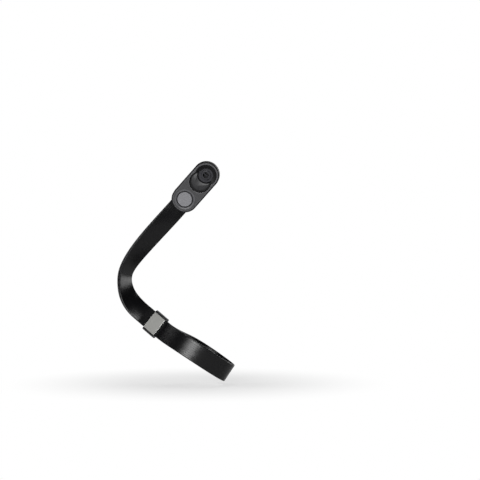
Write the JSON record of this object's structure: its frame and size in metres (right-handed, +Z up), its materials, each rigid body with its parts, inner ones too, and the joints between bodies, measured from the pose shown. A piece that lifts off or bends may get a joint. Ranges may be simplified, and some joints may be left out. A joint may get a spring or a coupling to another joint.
{
  "type": "camera wrist strap",
  "caption": "Wrist strap of doubled webbing with a sliding sleeve, an open wrist loop and a moulded connector that holds a round anchor under a lip.",
  "frame": {"origin": "centre of the anchor's hub in the connector, where the strap hangs from", "axes": "+Z up and the longest extent, +X right, -Y towards the viewer and the connector's front"},
  "size_m": [0.1168, 0.0518, 0.2177],
  "materials": {
    "nylon_front": "fine spark-eroded moulding texture",
    "nylon_rear": "fine spark-eroded moulding texture",
    "acetal_tongue": "smooth moulding",
    "anchor_plastic": "smooth moulding, slightly rubbed",
    "rivet_steel": "turned",
    "cap_paint": "matt powder coat",
    "screw_steel": "blackened",
    "webbing": "tight smooth weave with a soft sheen",
    "sleeve_black": "black anodised",
    "plate_aluminium": "satin brushed"
  },
  "bodies": {
    "root": {"front_cover": "nylon_front", "rear_cover": "nylon_rear", "anchor_disc": "anchor_plastic", "rivet_post": "rivet_steel", "rivet_cap": "cap_paint", "cover_screw_1": "screw_steel", "cover_screw_2": "screw_steel", "cover_screw_3": "screw_steel", "cover_screw_4": "screw_steel", "strap_webbing": "webbing"},
    "tongue": {"lock_tongue": "acetal_tongue"},
    "slider": {"slider_sleeve": "sleeve_black", "slider_plate": "plate_aluminium"}
  },
  "joints": [
    {"name": "tongue_press", "type": "hinge", "parent": "root", "child": "tongue", "pos_m": [-0.01354, 0.00355, -0.01513], "axis": [0.7524, 0.0853, -0.6531], "range_deg": [-6.5, 0], "stiffness_Nm_per_rad": 0.05},
    {"name": "slider_slide", "type": "slide", "parent": "root", "child": "slider", "axis": [-0.712, 0.4067, 0.5724], "range_m": [-0.001, 0.009]}
  ]
}
